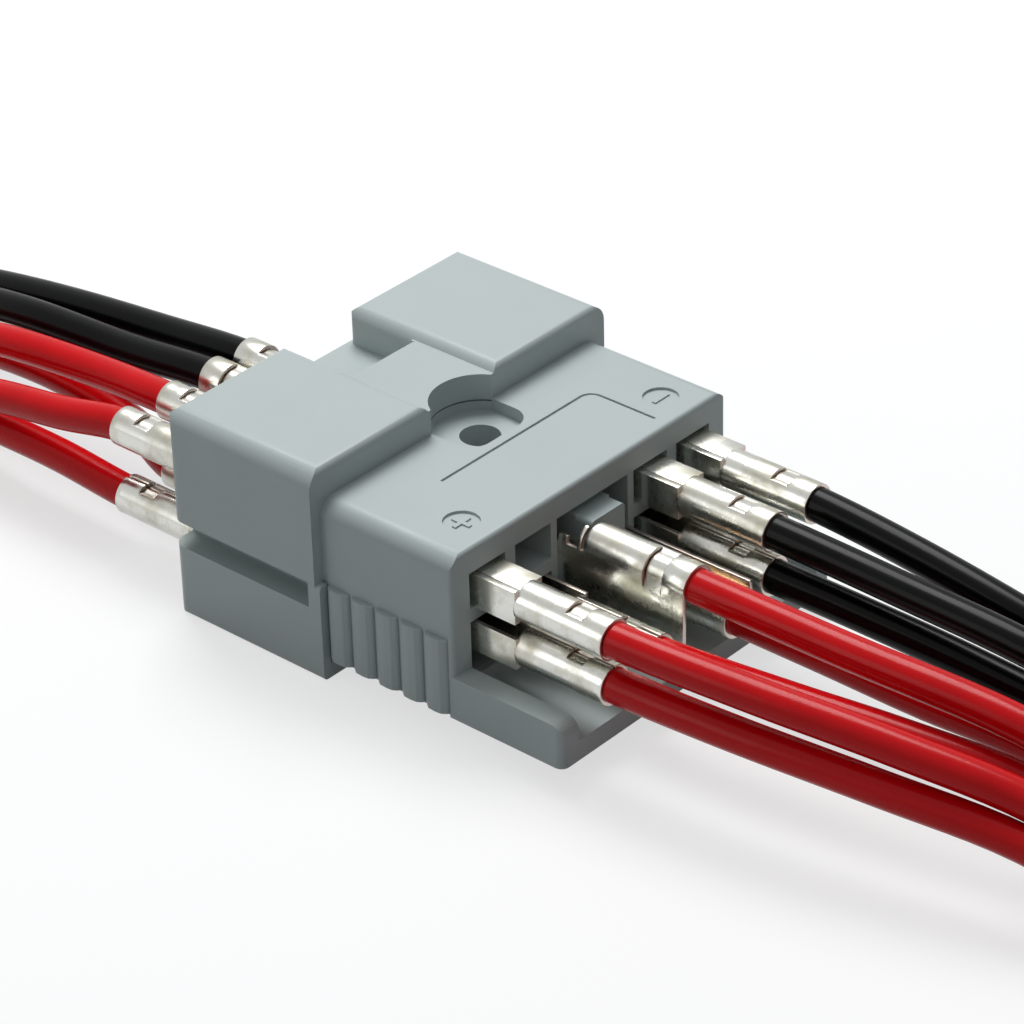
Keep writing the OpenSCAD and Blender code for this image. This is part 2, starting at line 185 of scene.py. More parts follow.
def grain_group() -> bpy.types.NodeTree:
    """Makes the fine grain of a moulded surface, as a height.

    Returns:
        The node group.
    """
    inputs = {"Scale": 1500.0, "Coarse": 0.35}
    g = GroupMaker(Relief.GRAIN.value, inputs, {"Height": "NodeSocketFloat"})
    place = g.add("ShaderNodeTexCoord")
    fine = g.add("ShaderNodeTexNoise", {"Detail": 3.0})
    wide = g.add("ShaderNodeTexNoise", {"Scale": 160.0})
    mix = g.add("ShaderNodeMix")
    g.join(place, "Object", fine, "Vector")
    g.join(place, "Object", wide, "Vector")
    g.join(g.given, "Scale", fine, "Scale")
    g.join(g.given, "Coarse", mix, "Factor")
    g.join(fine, "Fac", mix, "A")
    g.join(wide, "Fac", mix, "B")
    g.join(mix, "Result", g.result, "Height")
    return g.tree


def mottle_group() -> bpy.types.NodeTree:
    """Makes a slow drift between two colours, as on plating or moulded plastic.

    Returns:
        The node group.
    """
    g = GroupMaker(
        "slow_mottle",
        {"Base": (0.5, 0.5, 0.5, 1.0), "Tint": (0.4, 0.4, 0.4, 1.0), "Scale": 60.0, "Amount": 0.5},
        {"Color": "NodeSocketColor", "Mask": "NodeSocketFloat"},
    )
    place = g.add("ShaderNodeTexCoord")
    noise = g.add("ShaderNodeTexNoise", {"Detail": 5.0, "Roughness": 0.6})
    ramp = g.add("ShaderNodeMapRange", {"From Min": 0.42, "From Max": 0.68})
    scale = g.add("ShaderNodeMath", operation="MULTIPLY")
    mix = g.add("ShaderNodeMix", data_type="RGBA")
    g.join(place, "Object", noise, "Vector")
    g.join(g.given, "Scale", noise, "Scale")
    g.join(noise, "Fac", ramp, "Value")
    g.join(ramp, "Result", scale, 0)
    g.join(g.given, "Amount", scale, 1)
    g.join(scale, 0, mix, "Factor")
    g.join(g.given, "Base", mix, MIX_A)
    g.join(g.given, "Tint", mix, MIX_B)
    g.join(mix, MIX_OUT, g.result, "Color")
    g.join(scale, 0, g.result, "Mask")
    return g.tree


def streak_group() -> bpy.types.NodeTree:
    """Makes fine streaks that run along the plugging axis, as drawn metal and wire have.

    Returns:
        The node group.
    """
    inputs = {"Scale": 900.0, "Pits": 0.3}
    g = GroupMaker(Relief.STREAKS.value, inputs, {"Height": "NodeSocketFloat"})
    place = g.add("ShaderNodeTexCoord")
    squeeze = g.add("ShaderNodeMapping", {"Scale": (0.06, 1.0, 1.0)})
    streak = g.add("ShaderNodeTexNoise", {"Detail": 4.0})
    pits = g.add("ShaderNodeTexNoise", {"Scale": 650.0})
    mix = g.add("ShaderNodeMix")
    g.join(place, "Object", squeeze, "Vector")
    g.join(squeeze, "Vector", streak, "Vector")
    g.join(place, "Object", pits, "Vector")
    g.join(g.given, "Scale", streak, "Scale")
    g.join(g.given, "Pits", mix, "Factor")
    g.join(streak, "Fac", mix, "A")
    g.join(pits, "Fac", mix, "B")
    g.join(mix, "Result", g.result, "Height")
    return g.tree


@dataclass(frozen=True)
class Finish:
    """One finish of the connector, dressed with the shared groups."""

    name: str
    base: Colour
    tint: Colour
    mottle_scale: float = 60.0
    mottle: float = 0.4
    metallic: float = 0.0
    rough: Span = (0.4, 0.5)
    relief: Relief = Relief.GRAIN
    relief_scale: float = 1500.0
    relief_depth: float = 0.00002
    relief_strength: float = 0.3
    coat: float = 0.0
    coat_rough: float = 0.16
    specular: float = 0.5

    def make(self, groups: dict[str, bpy.types.NodeTree]) -> bpy.types.Material:
        """Builds the material.

        Args:
            groups: The shared node groups by name.

        Returns:
            The material, ready for a slot.
        """
        mat = bpy.data.materials.new(self.name)
        mat.use_nodes = True
        kit = NodeKit(mat.node_tree)
        shader = mat.node_tree.nodes["Principled BSDF"]
        colour = kit.add("ShaderNodeGroup",
                         {"Base": (*self.base, 1.0), "Tint": (*self.tint, 1.0),
                          "Scale": self.mottle_scale, "Amount": self.mottle},
                         node_tree=groups["slow_mottle"])
        rough = kit.add("ShaderNodeMapRange", {"To Min": self.rough[0], "To Max": self.rough[1]})
        relief = kit.add("ShaderNodeGroup", {"Scale": self.relief_scale},
                         node_tree=groups[self.relief.value])
        bump = kit.add("ShaderNodeBump",
                       {"Distance": self.relief_depth, "Strength": self.relief_strength})
        kit.join(colour, "Color", shader, "Base Color")
        kit.join(colour, "Mask", rough, "Value")
        kit.join(rough, "Result", shader, "Roughness")
        kit.join(relief, "Height", bump, "Height")
        kit.join(bump, "Normal", shader, "Normal")
        shader.inputs["Metallic"].default_value = self.metallic
        shader.inputs["Coat Weight"].default_value = self.coat
        shader.inputs["Coat Roughness"].default_value = self.coat_rough
        shader.inputs["Specular IOR Level"].default_value = self.specular
        return mat


HOUSING_GREY = Finish(
    "housing_grey", (0.42, 0.48, 0.475), (0.39, 0.445, 0.44), 45.0, 0.5, rough=(0.40, 0.52),
    relief_scale=1700.0, relief_depth=0.00003, specular=0.3)
TIN_PLATE = Finish(
    "tin_plate", (0.66, 0.66, 0.62), (0.36, 0.34, 0.25), 170.0, 0.85, metallic=1.0,
    rough=(0.22, 0.46), relief=Relief.STREAKS, relief_scale=700.0, relief_depth=0.00006,
    relief_strength=0.5)
CUT_COPPER = Finish(
    "cut_copper", (0.66, 0.59, 0.54), (0.52, 0.40, 0.34), 900.0, 0.7, metallic=1.0,
    rough=(0.3, 0.5), relief=Relief.STREAKS, relief_scale=1200.0)
BARE_COPPER = Finish(
    "bare_copper", (0.74, 0.46, 0.25), (0.55, 0.30, 0.14), 700.0, 0.7, metallic=1.0,
    rough=(0.25, 0.45), relief=Relief.STREAKS, relief_scale=1600.0)
JACKET_RED = Finish(
    "jacket_red", (0.62, 0.003, 0.006), (0.52, 0.002, 0.004), 90.0, 0.6, rough=(0.26, 0.36),
    relief=Relief.STREAKS, relief_scale=420.0, relief_depth=0.00004, relief_strength=0.25,
    coat=0.14, specular=0.08)
JACKET_BLACK = Finish(
    "jacket_black", (0.0012, 0.0014, 0.0016), (0.003, 0.0035, 0.004), 90.0, 0.6,
    rough=(0.3, 0.42), relief=Relief.STREAKS, relief_scale=420.0, relief_depth=0.00004,
    relief_strength=0.25, coat=0.1, specular=0.06)


class Palette:
    """All materials of the connector."""

    def __init__(self) -> None:
        """Builds the groups and every finish."""
        groups = {Relief.GRAIN.value: grain_group(), "slow_mottle": mottle_group(),
                  Relief.STREAKS.value: streak_group()}
        self.housing = HOUSING_GREY.make(groups)
        self.tin = TIN_PLATE.make(groups)
        self.cut = CUT_COPPER.make(groups)
        self.copper = BARE_COPPER.make(groups)
        self.jackets = {Jacket.RED: JACKET_RED.make(groups),
                        Jacket.BLACK: JACKET_BLACK.make(groups)}


# --- Mesh helpers --------------------------------------------------------------------------


def link(obj: bpy.types.Object) -> None:
    """Puts an object in the scene."""
    bpy.context.scene.collection.objects.link(obj)


def to_object(bm: bmesh.types.BMesh, name: str) -> bpy.types.Object:
    """Turns a bmesh into an object in the scene.

    Args:
        bm: The mesh, which is freed.
        name: Name of the object.

    Returns:
        The new object.
    """
    mesh = bpy.data.meshes.new(name)
    bm.to_mesh(mesh)
    bm.free()
    obj = bpy.data.objects.new(name, mesh)
    link(obj)
    return obj


def pick(made: list[object], kind: type) -> list:
    """Picks the elements of one kind from what an operator made."""
    return [part for part in made if isinstance(part, kind)]


def extrude_face(bm: bmesh.types.BMesh, outline: list[Vector], way: Vector) -> None:
    """Adds a prism.

    Args:
        bm: The mesh to add to.
        outline: Corners of its first end.
        way: From the first end to the other.
    """
    face = bm.faces.new([bm.verts.new(corner) for corner in outline])
    made = bmesh.ops.extrude_face_region(bm, geom=[face])["geom"]
    bmesh.ops.translate(bm, verts=pick(made, bmesh.types.BMVert), vec=way)


def smooth(obj: bpy.types.Object, angle_deg: float = 50.0) -> None:
    """Shades a mesh smooth, with its edges sharper than the angle left sharp.

    Args:
        obj: The mesh object.
        angle_deg: Angle between faces from which an edge is sharp.
    """
    obj.data.shade_smooth()
    obj.data.set_sharp_from_angle(angle=math.radians(angle_deg))


def add_bevel(obj: bpy.types.Object, width: float, segments: int, angle_deg: float) -> None:
    """Rounds a mesh's edges with a modifier.

    Args:
        obj: The mesh object.
        width: Width of the rounding in metres.
        segments: Steps of the rounding.
        angle_deg: Edges flatter than this stay.
    """
    mod = obj.modifiers.new("edge_round", "BEVEL")
    mod.width = width
    mod.segments = segments
    mod.limit_method = "ANGLE"
    mod.angle_limit = math.radians(angle_deg)
    mod.harden_normals = False
    mod.use_clamp_overlap = True


def pull_along(bm: bmesh.types.BMesh, line: list[bmesh.types.BMEdge], steps: list[float]) -> None:
    """Extrudes a profile that stands at steps[0] along X, through every further step.

    Args:
        bm: The mesh that holds the profile.
        line: The profile's edges.
        steps: Places along X, in the mesh's unit.
    """
    for before, after in zip(steps, steps[1:]):
        made = bmesh.ops.extrude_edge_only(bm, edges=line)["geom"]
        verts = pick(made, bmesh.types.BMVert)
        bmesh.ops.translate(bm, verts=verts, vec=(after - before, 0.0, 0.0))
        line = pick(made, bmesh.types.BMEdge)


def chain(bm: bmesh.types.BMesh, points: list[Point]) -> list[bmesh.types.BMEdge]:
    """Adds a chain of edges through a few points.

    Args:
        bm: The mesh to add to.
        points: The points, in the mesh's unit.

    Returns:
        The edges in order.
    """
    verts = [bm.verts.new(p) for p in points]
    return [bm.edges.new(pair) for pair in zip(verts, verts[1:])]


# --- Studio --------------------------------------------------------------------------------


@dataclass(frozen=True)
class Lamp:
    """A soft square lamp that looks at the connector, in metres and watts."""

    name: str
    at: Point
    size: float
    watts: float
    aim: Point = (0.0, 0.0, 0.02)

    def hang(self) -> None:
        """Adds the lamp to the scene."""
        data = bpy.data.lights.new(self.name, "AREA")
        data.shape = "SQUARE"
        data.size = self.size
        data.energy = self.watts
        lamp = bpy.data.objects.new(self.name, data)
        look = (Vector(self.aim) - Vector(self.at)).to_track_quat("-Z", "Y")
        lamp.matrix_world = Matrix.Translation(self.at) @ look.to_matrix().to_4x4()
        link(lamp)


@dataclass(frozen=True)
class Studio:
    """Camera, floor and light, in metres."""

    camera_at: Point = (0.371209, -0.400906, 0.352575)
    target: Point = (0.00748, 0.002269, 0.015)
    roll_deg: float = -1.597
    lens_mm: float = 149.77
    sensor_mm: float = 36.0
    clip: Span = (0.01, 20.0)
    floor_half: float = 6.0
    floor_z: float = -0.00005
    floor_rough: float = 0.7
    floor_specular: float = 0.1
    floor_tone: Colour = (0.34, 0.34, 0.35)
    floor_seen_tone: Colour = (0.93, 0.94, 0.95)
    floor_glow: float = 0.65
    sky: tuple[tuple[float, Colour], ...] = ((0.1, (0.03, 0.03, 0.032)), (0.8, (0.36, 0.37, 0.38)))
    lamps: tuple[Lamp, ...] = (Lamp("key_lamp", (-0.35, 0.30, 0.85), 0.5, 8.2),
                               Lamp("near_lamp", (-0.45, -0.9, 0.4), 0.5, 1.1))

    def place_camera(self) -> None:
        """Adds the camera."""
        back = (Vector(self.camera_at) - Vector(self.target)).normalized()
        right = Vector((0.0, 0.0, 1.0)).cross(back).normalized()
        up = back.cross(right)
        roll = math.radians(self.roll_deg)
        side = math.cos(roll) * right + math.sin(roll) * up
        top = math.cos(roll) * up - math.sin(roll) * right
        data = bpy.data.cameras.new("camera")
        data.lens = self.lens_mm
        data.sensor_width = self.sensor_mm
        data.clip_start, data.clip_end = self.clip
        cam = bpy.data.objects.new("camera", data)
        turn = Matrix((side, top, back)).transposed().to_4x4()
        cam.matrix_world = Matrix.Translation(self.camera_at) @ turn
        link(cam)
        bpy.context.scene.camera = cam

    def lay_floor(self) -> None:
        """Adds the pale floor, which shows white to the camera and keeps the shadow."""
        bm = bmesh.new()
        bmesh.ops.create_grid(bm, x_segments=1, y_segments=1, size=self.floor_half)
        bmesh.ops.translate(bm, verts=bm.verts, vec=(0.0, 0.0, self.floor_z))
        floor = to_object(bm, "floor")
        mat = bpy.data.materials.new("studio_floor")
        mat.use_nodes = True
        kit = NodeKit(mat.node_tree)
        shader = mat.node_tree.nodes["Principled BSDF"]
        shader.inputs["Roughness"].default_value = self.floor_rough
        shader.inputs["Specular IOR Level"].default_value = self.floor_specular
        tones = {MIX_A: (*self.floor_tone, 1.0), MIX_B: (*self.floor_seen_tone, 1.0)}
        tone = kit.add("ShaderNodeMix", tones, data_type="RGBA")
        glow = kit.add("ShaderNodeEmission", {"Strength": 1.0})
        mix = kit.add("ShaderNodeMixShader")
        kit.join(kit.seen_rays(1.0), 0, tone, "Factor")
        kit.join(tone, MIX_OUT, shader, "Base Color")
        kit.join(kit.seen_rays(self.floor_glow), 0, mix, "Fac")
        kit.join(shader, "BSDF", mix, 1)
        kit.join(glow, "Emission", mix, 2)
        kit.join(mix, "Shader", mat.node_tree.nodes["Material Output"], "Surface")
        floor.data.materials.append(mat)

    def light(self) -> None:
        """Sets the world and the lamps."""
        world = bpy.data.worlds.new("studio_world")
        bpy.context.scene.world = world
        world.use_nodes = True
        kit = NodeKit(world.node_tree)
        dome = world.node_tree.nodes["Background"]
        place = kit.add("ShaderNodeTexCoord")
        split = kit.add("ShaderNodeSeparateXYZ")
        ramp = kit.add("ShaderNodeValToRGB")
        for stop, (position, tone) in zip(ramp.color_ramp.elements, self.sky):
            stop.position = position
            stop.color = (*tone, 1.0)
        white = kit.add("ShaderNodeBackground", {"Strength": 1.0})
        mix = kit.add("ShaderNodeMixShader")
        kit.join(place, "Generated", split, "Vector")
        kit.join(split, "Z", ramp, "Fac")
        kit.join(ramp, "Color", dome, "Color")
        kit.join(kit.seen_rays(1.0), 0, mix, "Fac")
        kit.join(dome, "Background", mix, 1)
        kit.join(white, "Background", mix, 2)
        kit.join(mix, "Shader", world.node_tree.nodes["World Output"], "Surface")
        for lamp in self.lamps:
            lamp.hang()
        bpy.context.scene.view_settings.view_transform = "Standard"


# --- Leads ---------------------------------------------------------------------------------


@dataclass
class Lead:
    """A free lead from its crimp to its bare end, its route in millimetres."""

    name: str
    jacket: Jacket
    half: Half
    route: list[Point]
    diameter: float = 5.4 * MM
    steps: int = 6
    strand: float = 0.42 * MM
    strand_taper: float = 0.94
    strand_out: float = 0.5 * MM
    # Radius of each ring in strand radii, and how many strands it has
    rings: tuple[tuple[float, int], ...] = ((0.0, 1), (2.05, 6), (4.05, 12))

    def smooth_route(self) -> list[Vector]:
        """Runs a smooth curve through the route, along X at its start.

        Returns:
            The curve's points in metres.
        """
        knots = [Vector(p) * MM for p in self.route]
        first = knots[0] - X_AXIS * self.half.value * (knots[1] - knots[0]).length
        last = 2.0 * knots[-1] - knots[-2]
        knots = [first, *knots, last]
        line = []
        for a, b, c, d in zip(knots, knots[1:], knots[2:], knots[3:]):
            for i in range(self.steps):
                t = i / self.steps
                line.append(0.5 * (2.0 * b + (c - a) * t
                                   + (2.0 * a - 5.0 * b + 4.0 * c - d) * t * t
                                   + (3.0 * b - a - 3.0 * c + d) * t ** 3))
        return [*line, knots[-2]]

    def build(self, palette: Palette) -> None:
        """Makes the lead and the strands at its bare end.

        Args:
            palette: The connector's materials.
        """
        line = self.smooth_route()
        data = bpy.data.curves.new(self.name + "_curve", "CURVE")
        data.dimensions = "3D"
        data.bevel_depth = self.diameter / 2.0
        data.bevel_resolution = 7
        data.use_fill_caps = True
        spline = data.splines.new("POLY")
        spline.points.add(len(line) - 1)
        for point, at in zip(spline.points, line):
            point.co = (*at, 1.0)
        data.materials.append(palette.jackets[self.jacket])
        lead = bpy.data.objects.new("wire_" + self.name, data)
        link(lead)
        strands = self.strand_end(line[-1], (line[-1] - line[-2]).normalized(), palette)
        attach(lead, self.half.body)
        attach(strands, self.half.body)
        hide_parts(self.name)

    def strand_end(self, at: Vector, along: Vector, palette: Palette) -> bpy.types.Object:
        """Makes the rings of strands that show at the cut end.

        Args:
            at: Middle of the cut.
            along: Direction of the lead there.
            palette: The connector's materials.

        Returns:
            The strands as one mesh.
        """
        bm = bmesh.new()
        turn = along.to_track_quat("Z", "Y").to_matrix().to_4x4()
        for ring, count in self.rings:
            radius = ring * self.strand
            for i in range(count):
                angle = 2.0 * math.pi * i / count
                spot = Vector((radius * math.cos(angle), radius * math.sin(angle), 0.0))
                place = Matrix.Translation(at) @ turn @ Matrix.Translation(spot)
                bmesh.ops.create_cone(bm, cap_ends=True, segments=10, radius1=self.strand,
                                      radius2=self.strand * self.strand_taper,
                                      depth=self.strand_out, matrix=place)
        strands = to_object(bm, "strands_" + self.name)
        strands.data.materials.append(palette.copper)
        smooth(strands)
        return strands


LEADS = [
    Lead("lead_red_a_outer_upper", Jacket.RED, Half.FIXED,
         [(49, -23.2, 22.5), (72, -21, 22), (94, -17, 20.5), (114, -12.5, 17.5),
          (138, -8.5, 10.5), (162, -5, 2.8)]),
    Lead("lead_red_a_outer_lower", Jacket.RED, Half.FIXED,
         [(49, -23.2, 14.9), (70, -22, 15), (92, -18.8, 14.2), (114, -15.3, 12.8),
          (136, -13.5, 8), (158, -13, 2.8)]),
    Lead("lead_red_a_inner_lower", Jacket.RED, Half.FIXED,
         [(49, -13.25, 14.9), (70, -11, 15.2), (88, -8, 15), (106, -4.2, 13.4), (130, 1, 8),
          (154, 6, 2.8)]),
    Lead("lead_red_power_near", Jacket.RED, Half.FIXED,
         [(49, -4.7, 22.2), (75, -4.3, 22), (104, -2.3, 20.8), (128, -1, 16), (150, 0.5, 9.5),
          (172, 2, 2.8)]),
    Lead("lead_red_power_far", Jacket.RED, Half.FIXED,
         [(49, 4.7, 12), (66, 4, 12.6), (84, 3.6, 12.8), (100, 4.6, 12.6), (124, 8, 8),
          (148, 12, 2.8)]),
    Lead("lead_black_b_inner_upper", Jacket.BLACK, Half.FIXED,
         [(49, 13.25, 22.5), (72, 13, 22.1), (94, 12.5, 21.6), (116, 13.5, 18),
          (140, 15.5, 10.5), (162, 17.5, 2.8)]),
    Lead("lead_black_b_inner_lower", Jacket.BLACK, Half.FIXED,
         [(49, 13.25, 14.9), (66, 13.3, 14.8), (84, 14, 13.8), (104, 15, 11.5), (126, 17, 6.5),
          (146, 19, 2.8)]),
    Lead("lead_black_b_outer_upper", Jacket.BLACK, Half.FIXED,
         [(49, 23.2, 22.5), (68, 22.8, 21.2), (87, 22.2, 19), (108, 22.5, 15), (130, 23.5, 9),
          (152, 25, 2.8)]),
    Lead("lead_red_c_outer_upper", Jacket.RED, Half.MOVING,
         [(-49, -23.2, 20.8), (-62, -24, 18.6), (-77, -23.8, 16), (-96, -23.5, 11.5),
          (-116, -23, 6), (-134, -22.5, 2.8)]),
    Lead("lead_red_c_outer_lower", Jacket.RED, Half.MOVING,
         [(-49, -23.2, 8.6), (-65, -22.5, 9), (-80, -22, 8.5), (-98, -20, 6), (-116, -16.5, 3.5),
          (-132, -14, 2.8)]),
    Lead("lead_red_c_inner_upper", Jacket.RED, Half.MOVING,
         [(-49, -13.25, 20.8), (-67, -11.6, 18.7), (-87, -12, 17), (-108, -10.5, 12),
          (-128, -9, 6), (-144, -8, 2.8)]),
    Lead("lead_red_c_inner_lower", Jacket.RED, Half.MOVING,
         [(-49, -13.25, 8.6), (-62, -9.5, 10), (-78, -7, 10.2), (-94, -5.5, 8.8),
          (-110, -4, 5.6), (-126, -3, 2.8)]),
    Lead("lead_black_d_near", Jacket.BLACK, Half.MOVING,
         [(-49, -3.8, 20.8), (-68, -3.6, 18.6), (-92, -3, 16.6), (-112, -1.5, 12.5),
          (-132, 0, 7), (-150, 1.5, 2.8)]),
    Lead("lead_black_d_far", Jacket.BLACK, Half.MOVING,
         [(-49, 3.8, 20.8), (-68, 4.6, 18.3), (-90, 5, 15.5), (-110, 5.5, 12), (-130, 6.5, 7),
          (-148, 8, 2.8)]),
]


# --- Contacts ------------------------------------------------------------------------------


@dataclass(frozen=True)
class Window:
    """Strip of a barrel's wall that is cut free at both ends and pressed inwards."""

    start: float = 41.7
    end: float = 44.9
    slit: float = 0.16
    depth: float = 0.55
    middle_deg: float = 90.0
    half_deg: float = 38.0
    fade_deg: float = 14.0
    shoulder: float = 0.6
    least_weight: float = 0.05

    def steps(self) -> list[float]:
        """Places along the contact at which the barrel needs rings for this window."""
        return [self.start, self.start + self.slit, self.start + self.shoulder,
                self.end - self.shoulder, self.end - self.slit, self.end]

    def weight(self, at: Vector) -> float:
        """How far inside the window a point lies round the barrel.

        Args:
            at: The point, from the barrel's axis.

        Returns:
            0 outside, rising to 1 within a few degrees.
        """
        angle = math.degrees(math.atan2(at.z, at.y)) % 360.0
        inside = (self.half_deg - abs(angle - self.middle_deg)) / self.fade_deg
        return max(0.0, min(1.0, inside))

    def press(self, bm: bmesh.types.BMesh) -> None:
        """Opens the slits and presses the strip in.

        Args:
            bm: The mesh in millimetres, with the barrel's axis along X through the origin.
        """
        gaps = [(self.start, self.start + self.slit), (self.end - self.slit, self.end)]
        cut = []
        for face in bm.faces:
            mid = face.calc_center_median()
            if any(a < mid.x < b for a, b in gaps) and self.weight(mid) > self.least_weight:
                cut.append(face)
        bmesh.ops.delete(bm, geom=cut, context="FACES")
        for vert in bm.verts:
            if gaps[0][1] - TOUCH <= vert.co.x <= gaps[1][0] + TOUCH:
                way = Vector((0.0, vert.co.y, vert.co.z)).normalized()
                vert.co -= way * self.depth * self.weight(vert.co)


@dataclass
class Contact:
    """What every crimped contact shares: the sheet it is folded from, and its barrel."""

    name: str
    half: Half
    axis: tuple[float, float]
    sheet: float = 0.7
    edge: float = 0.07
    barrel_end: float = 49.0
    barrel_steps: int = 46
    wire_count: int = 7
    wire_setback: float = 0.6
    wire_turn_deg: float = 20.0
    wire_stagger: float = 0.35

    def barrel(self, bm: bmesh.types.BMesh, radius: float, seam: Turn, rings: list[float]) -> None:
        """Adds the barrel that is rolled round the conductor.

        Args:
            bm: The mesh in millimetres, with the barrel's axis along X.
            radius: Outer radius.
            seam: Where its seam lies, and how wide it is.
            rings: Places along X of its rings.
        """
        seam_deg, gap_deg = seam.value
        own = bmesh.new()
        angle = math.radians(seam_deg + gap_deg / 2.0)
        seed = own.verts.new((rings[0], radius * math.cos(angle), radius * math.sin(angle)))
        bmesh.ops.spin(own, geom=[seed], cent=(rings[0], 0, 0), axis=(1, 0, 0), dvec=(0, 0, 0),
                       angle=math.radians(360.0 - gap_deg), steps=self.barrel_steps,
                       use_duplicate=False)
        pull_along(own, own.edges[:], rings)
        self.face_out(own)
        self.merge(own, bm)

    def face_out(self, bm: bmesh.types.BMesh) -> None:
        """Turns every face away from the contact's axis."""
        bm.normal_update()
        wrong = []
        for face in bm.faces:
            mid = face.calc_center_median()
            if face.normal.dot(Vector((0.0, mid.y, mid.z))) < 0.0:
                wrong.append(face)
        bmesh.ops.reverse_faces(bm, faces=wrong)

    def merge(self, part: bmesh.types.BMesh, whole: bmesh.types.BMesh) -> None:
        """Moves one mesh into another.

        Args:
            part: The mesh to move, which is freed.
            whole: The mesh that takes it.
        """
        store = bpy.data.meshes.new("part")
        part.to_mesh(store)
        part.free()
        whole.from_mesh(store)
        bpy.data.meshes.remove(store)

    def flip(self, bm: bmesh.types.BMesh, scale: Point) -> None:
        """Scales a mesh by an odd number of negative steps, and keeps its faces outwards.

        Args:
            bm: The mesh.
            scale: Scale along each axis.
        """
        bmesh.ops.scale(bm, verts=bm.verts, vec=scale)
        bmesh.ops.reverse_faces(bm, faces=bm.faces)

    def settle(self, bm: bmesh.types.BMesh, name: str) -> bpy.types.Object:
        """Brings a mesh from the contact's own frame to its place, in metres.

        Args:
            bm: The mesh in millimetres, which is freed.
            name: Name of the object.

        Returns:
            The object, riding on its half.
        """
        bmesh.ops.translate(bm, verts=bm.verts, vec=(0.0, *self.axis))
        bmesh.ops.scale(bm, verts=bm.verts, vec=(MM, MM, MM))
        if self.half is Half.MOVING:
            self.flip(bm, (-1.0, 1.0, 1.0))
        obj = to_object(bm, name)
        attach(obj, self.half.body)
        return obj

    def dress_sheet(self, bm: bmesh.types.BMesh, palette: Palette) -> None:
        """Gives the folded sheet its place, thickness, edges and plating.

        Args:
            bm: The sheet's outer side in millimetres, which is freed.
            palette: The connector's materials.
        """
        obj = self.settle(bm, "sheet_" + self.name)
        obj.data.materials.append(palette.tin)
        obj.data.materials.append(palette.cut)
        thick = obj.modifiers.new("sheet", "SOLIDIFY")
        thick.thickness = self.sheet * MM
        thick.offset = -1.0
        thick.use_even_offset = True
        thick.material_offset_rim = 1
        add_bevel(obj, self.edge * MM, 2, 40.0)
        smooth(obj)
        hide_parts(self.name)

    def conductor(self, radius: float, start: float, palette: Palette) -> None:
        """Makes the bare strands inside the barrel.

        Args:
            radius: Radius of the bundle.
            start: Where the strands end, inside the contact.
            palette: The connector's materials.
        """
        bm = bmesh.new()
        thin = radius / 3.0
        stop = self.barrel_end - self.wire_setback
        turn = Matrix.Rotation(math.radians(90.0), 4, "Y")
        for i in range(self.wire_count):
            out = 0.0 if i == self.wire_count - 1 else 2.0 * thin
            angle = math.radians(360.0 * i / (self.wire_count - 1) + self.wire_turn_deg)
            begin = start - self.wire_stagger * (i * 5 % 4)
            mid = ((begin + stop) / 2.0, out * math.cos(angle), out * math.sin(angle))
            bmesh.ops.create_cone(bm, cap_ends=True, segments=14, radius1=thin, radius2=thin,
                                  depth=stop - begin, matrix=Matrix.Translation(mid) @ turn)
        obj = self.settle(bm, "conductor_" + self.name)
        obj.data.materials.append(palette.copper)
        smooth(obj)


